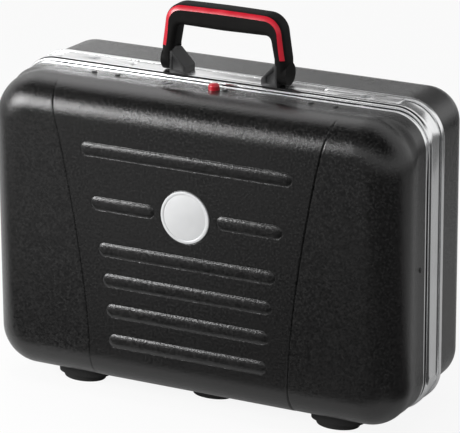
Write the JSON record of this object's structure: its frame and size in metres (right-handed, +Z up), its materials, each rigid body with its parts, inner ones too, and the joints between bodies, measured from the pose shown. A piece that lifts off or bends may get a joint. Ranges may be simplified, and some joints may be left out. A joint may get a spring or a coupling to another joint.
{
  "type": "hard tool case",
  "caption": "Hard tool case with two black moulded shells in a satin aluminium frame, flush lever latches, hinged lid and folding carry handle.",
  "frame": {"origin": "on the floor under the middle of the closed case, at the underside of its feet", "axes": "+X to the right as the badge faces the viewer, along the case; +Y from the lid at the front to the base shell at the back; +Z up to the handle"},
  "size_m": [0.48, 0.194, 0.4206],
  "materials": {
    "shell_abs": "fine pebble grain, moulded ABS",
    "frame_aluminium": "satin extrusion, polished corners",
    "plain_steel": "zinc plated",
    "handle_plastic": "satin",
    "bracket_plastic": "fine matte",
    "rubber": "matte",
    "red_plastic": "gloss",
    "badge_plastic": "satin white silver",
    "rivet_black": "black lacquer"
  },
  "bodies": {
    "base": {"base_shell": "shell_abs", "base_frame": "frame_aluminium", "cover_plate": "frame_aluminium", "handle_bracket_left": "bracket_plastic", "handle_bracket_right": "bracket_plastic", "handle_pins": "plain_steel", "bracket_screws": "plain_steel", "base_hinge_leaves": "plain_steel", "hinge_pins": "plain_steel", "base_hinge_rivets": "plain_steel", "base_feet": "rubber", "base_foot_screws": "plain_steel", "base_shell_rivets": "plain_steel", "latch_pin_left": "plain_steel", "latch_pin_right": "plain_steel"},
    "lid": {"lid_shell": "shell_abs", "lid_frame": "frame_aluminium", "lid_seal": "rubber", "badge": "badge_plastic", "lid_rivets": "rivet_black", "lid_keeper_left": "plain_steel", "lid_keeper_right": "plain_steel", "keeper_rivets": "plain_steel", "lid_hinge_leaves": "plain_steel", "lid_hinge_rivets": "plain_steel", "lid_feet": "rubber", "lid_foot_screws": "plain_steel", "button_housing": "bracket_plastic", "button_spring": "plain_steel"},
    "release_button": {"release_button": "red_plastic"},
    "latch_left": {"latch_lever_left": "frame_aluminium", "latch_hook_left": "plain_steel", "lock_housing_left": "plain_steel"},
    "latch_right": {"latch_lever_right": "frame_aluminium", "latch_hook_right": "plain_steel", "lock_housing_right": "plain_steel"},
    "lock_left": {"lock_cylinder_left": "plain_steel"},
    "lock_right": {"lock_cylinder_right": "plain_steel"},
    "handle": {"handle": "handle_plastic", "handle_inlays": "red_plastic"}
  },
  "joints": [
    {"name": "lid_hinge", "type": "hinge", "parent": "base", "child": "lid", "pos_m": [0, -0.02, 0.0125], "axis": [1, 0, 0], "range_deg": [0, 100]},
    {"name": "handle_swing", "type": "hinge", "parent": "base", "child": "handle", "pos_m": [0, 0.0005, 0.3575], "axis": [1, 0, 0], "range_deg": [-80, 80]},
    {"name": "latch_lift_left", "type": "hinge", "parent": "base", "child": "latch_left", "pos_m": [-0.1962, 0.0005, 0.343], "axis": [0, -1, 0], "range_deg": [0, 40]},
    {"name": "latch_lift_right", "type": "hinge", "parent": "base", "child": "latch_right", "pos_m": [0.1962, 0.0005, 0.343], "axis": [0, 1, 0], "range_deg": [0, 40]},
    {"name": "lock_turn_left", "type": "hinge", "parent": "latch_left", "child": "lock_left", "pos_m": [-0.159, 0.0005, 0.343], "axis": [0, 0, 1], "range_deg": [0, 90]},
    {"name": "lock_turn_right", "type": "hinge", "parent": "latch_right", "child": "lock_right", "pos_m": [0.159, 0.0005, 0.343], "axis": [0, 0, 1], "range_deg": [0, 90]},
    {"name": "button_press", "type": "slide", "parent": "lid", "child": "release_button", "axis": [0, 0, -1], "range_m": [0, 0.0025], "stiffness_N_per_m": 400, "deforming": ["button_spring"]}
  ]
}
